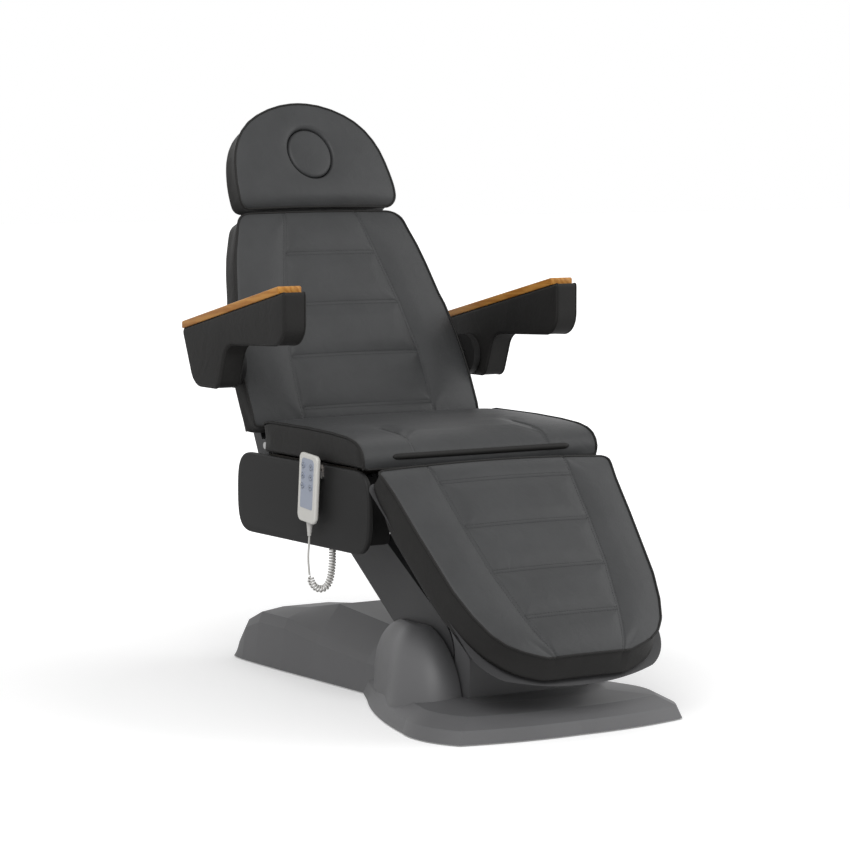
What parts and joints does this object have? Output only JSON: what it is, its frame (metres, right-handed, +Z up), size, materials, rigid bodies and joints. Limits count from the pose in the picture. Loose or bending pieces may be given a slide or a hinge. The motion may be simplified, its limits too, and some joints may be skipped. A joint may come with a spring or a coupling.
{
  "type": "electric treatment chair",
  "caption": "electric treatment chair with parallel-arm lift, reclining back, swinging leg rest, adjustable headrest with face plug, swing-up arms and a wired handset",
  "frame": {"origin": "on the floor under the middle of the chair's bounding box at rest", "axes": "+Z up, X across the chair with +X to the sitter's left, the sitter faces -Y"},
  "size_m": [0.762, 1.2692, 1.2983],
  "materials": {
    "charcoal_leatherette": "soft, fine grain",
    "grey_moulding": "fine texture",
    "dark_moulding": "fine texture",
    "frame_paint": "powder coat",
    "bright_steel": "ground",
    "plywood": "raw",
    "beech": "clear lacquer",
    "handset_grey": "satin",
    "key_sheet": "satin film",
    "clip_grey": "satin",
    "black_rubber": "matt",
    "cord_grey": "satin",
    "motor_black": "matt",
    "chrome": "polished"
  },
  "bodies": {
    "base": {"base_frame": "frame_paint", "base_cover": "grey_moulding", "front_cowl": "grey_moulding", "levelling_feet": "black_rubber", "lower_pivot_shafts": "bright_steel", "control_box": "motor_black", "mains_inlet": "motor_black"},
    "lift_arm": {"lift_arm": "frame_paint", "arm_cover": "grey_moulding"},
    "tie_arm": {"tie_arm": "frame_paint"},
    "seat": {"seat_frame": "frame_paint", "seat_board": "plywood", "seat_cushion": "charcoal_leatherette", "left_side_panel": "dark_moulding", "right_side_panel": "dark_moulding", "handset_hook": "chrome", "cord_gland": "motor_black", "upper_pivot_shafts": "bright_steel", "hinge_pins": "bright_steel", "curly_cord": "cord_grey"},
    "backrest": {"back_frame": "frame_paint", "back_board": "plywood", "back_cushion": "charcoal_leatherette", "left_arm_bracket": "dark_moulding", "right_arm_bracket": "dark_moulding", "arm_pivot_bolts": "bright_steel"},
    "head_carriage": {"head_rods": "chrome"},
    "headrest": {"head_block": "motor_black", "head_board": "plywood", "head_cushion": "charcoal_leatherette"},
    "face_plug": {"face_plug": "charcoal_leatherette"},
    "left_armrest": {"left_arm_core": "frame_paint", "left_arm_pad": "charcoal_leatherette", "left_arm_wood": "beech"},
    "right_armrest": {"right_arm_core": "frame_paint", "right_arm_pad": "charcoal_leatherette", "right_arm_wood": "beech"},
    "leg_rest": {"leg_frame": "frame_paint", "leg_tray": "grey_moulding", "leg_cushion": "charcoal_leatherette"},
    "lift_actuator": {"lift_actuator": "motor_black"},
    "lift_rod": {"lift_rod": "bright_steel"},
    "back_actuator": {"back_actuator": "motor_black"},
    "back_rod": {"back_rod": "bright_steel"},
    "leg_actuator": {"leg_actuator": "motor_black"},
    "leg_rod": {"leg_rod": "bright_steel"},
    "handset": {"handset_front": "handset_grey", "handset_back": "handset_grey", "handset_keypad": "key_sheet", "handset_clip": "clip_grey", "cord_relief": "cord_grey", "handset_lead": "cord_grey"},
    "key_back_up": {"key_back_up": "handset_grey"},
    "key_back_down": {"key_back_down": "handset_grey"},
    "key_leg_up": {"key_leg_up": "handset_grey"},
    "key_leg_down": {"key_leg_down": "handset_grey"},
    "key_lift_up": {"key_lift_up": "handset_grey"},
    "key_lift_down": {"key_lift_down": "handset_grey"}
  },
  "joints": [
    {"name": "lift", "type": "hinge", "parent": "base", "child": "lift_arm", "pos_m": [0, -0.269, 0.142], "axis": [1, 0, 0], "range_deg": [-6, 30]},
    {"name": "tie_swing", "type": "hinge", "parent": "base", "child": "tie_arm", "pos_m": [0, -0.293, 0.176], "axis": [1, 0, 0], "range_deg": [-6, 30]},
    {"name": "seat_level", "type": "hinge", "parent": "lift_arm", "child": "seat", "pos_m": [0, 0.096, 0.388], "axis": [1, 0, 0], "range_deg": [-30, 6]},
    {"name": "back_recline", "type": "hinge", "parent": "seat", "child": "backrest", "pos_m": [0, 0.256, 0.54], "axis": [-1, 0, 0], "range_deg": [-6, 63]},
    {"name": "leg_raise", "type": "hinge", "parent": "seat", "child": "leg_rest", "pos_m": [0, -0.2065, 0.518], "axis": [-1, 0, 0], "range_deg": [0, 46]},
    {"name": "head_height", "type": "slide", "parent": "backrest", "child": "head_carriage", "axis": [0, 0.4431, 0.8965], "range_m": [0, 0.08]},
    {"name": "head_tilt", "type": "hinge", "parent": "head_carriage", "child": "headrest", "pos_m": [0, 0.53439, 1.07169], "axis": [-1, 0, 0], "range_deg": [0, 20]},
    {"name": "plug_pull", "type": "slide", "parent": "headrest", "child": "face_plug", "axis": [0, -0.8965, 0.4431], "range_m": [0, 0.06]},
    {"name": "left_arm_swing", "type": "hinge", "parent": "backrest", "child": "left_armrest", "pos_m": [0.325, 0.305, 0.72], "axis": [-1, 0, 0], "range_deg": [0, 95]},
    {"name": "right_arm_swing", "type": "hinge", "parent": "backrest", "child": "right_armrest", "pos_m": [-0.325, 0.305, 0.72], "axis": [-1, 0, 0], "range_deg": [0, 95]},
    {"name": "lift_actuator_swing", "type": "hinge", "parent": "base", "child": "lift_actuator", "pos_m": [0, -0.02, 0.062], "axis": [1, 0, 0], "range_deg": [-2, 7.5]},
    {"name": "lift_rod_stroke", "type": "slide", "parent": "lift_actuator", "child": "lift_rod", "axis": [0, -0.6, 0.8], "range_m": [-0.016, 0.076]},
    {"name": "back_actuator_swing", "type": "hinge", "parent": "seat", "child": "back_actuator", "pos_m": [-0.046, -0.118, 0.431], "axis": [1, 0, 0], "range_deg": [-1, 2.5]},
    {"name": "back_rod_stroke", "type": "slide", "parent": "back_actuator", "child": "back_rod", "axis": [0, 0.9899, 0.1419], "range_m": [-0.058, 0.012]},
    {"name": "leg_actuator_swing", "type": "hinge", "parent": "seat", "child": "leg_actuator", "pos_m": [0.046, 0.04, 0.486], "axis": [1, 0, 0], "range_deg": [-6.5, 0.5]},
    {"name": "leg_rod_stroke", "type": "slide", "parent": "leg_actuator", "child": "leg_rod", "axis": [0, -0.9952, -0.0983], "range_m": [-0.001, 0.039]},
    {"name": "handset_lift_off", "type": "slide", "parent": "seat", "child": "handset", "axis": [0, 0, 1], "range_m": [0, 0.04], "deforming": ["handset_lead"]},
    {"name": "key_back_up_press", "type": "slide", "parent": "handset", "child": "key_back_up", "axis": [1, 0, 0], "range_m": [0, 0.0008], "stiffness_N_per_m": 600, "springref_m": -0.0008},
    {"name": "key_back_down_press", "type": "slide", "parent": "handset", "child": "key_back_down", "axis": [1, 0, 0], "range_m": [0, 0.0008], "stiffness_N_per_m": 600, "springref_m": -0.0008},
    {"name": "key_leg_up_press", "type": "slide", "parent": "handset", "child": "key_leg_up", "axis": [1, 0, 0], "range_m": [0, 0.0008], "stiffness_N_per_m": 600, "springref_m": -0.0008},
    {"name": "key_leg_down_press", "type": "slide", "parent": "handset", "child": "key_leg_down", "axis": [1, 0, 0], "range_m": [0, 0.0008], "stiffness_N_per_m": 600, "springref_m": -0.0008},
    {"name": "key_lift_up_press", "type": "slide", "parent": "handset", "child": "key_lift_up", "axis": [1, 0, 0], "range_m": [0, 0.0008], "stiffness_N_per_m": 600, "springref_m": -0.0008},
    {"name": "key_lift_down_press", "type": "slide", "parent": "handset", "child": "key_lift_down", "axis": [1, 0, 0], "range_m": [0, 0.0008], "stiffness_N_per_m": 600, "springref_m": -0.0008}
  ],
  "couplings": [
    {"joint": "tie_swing", "follows": "lift", "ratio": 1},
    {"joint": "seat_level", "follows": "lift", "ratio": -1},
    {"joint": "lift_actuator_swing", "follows": "lift", "ratio": 0.21599},
    {"joint": "lift_rod_stroke", "follows": "lift", "m_per_rad": 0.14213},
    {"joint": "back_actuator_swing", "follows": "back_recline", "ratio": 0.02755},
    {"joint": "back_rod_stroke", "follows": "back_recline", "m_per_rad": -0.05152},
    {"joint": "leg_actuator_swing", "follows": "leg_raise", "ratio": -0.12089},
    {"joint": "leg_rod_stroke", "follows": "leg_raise", "m_per_rad": 0.04727}
  ]
}
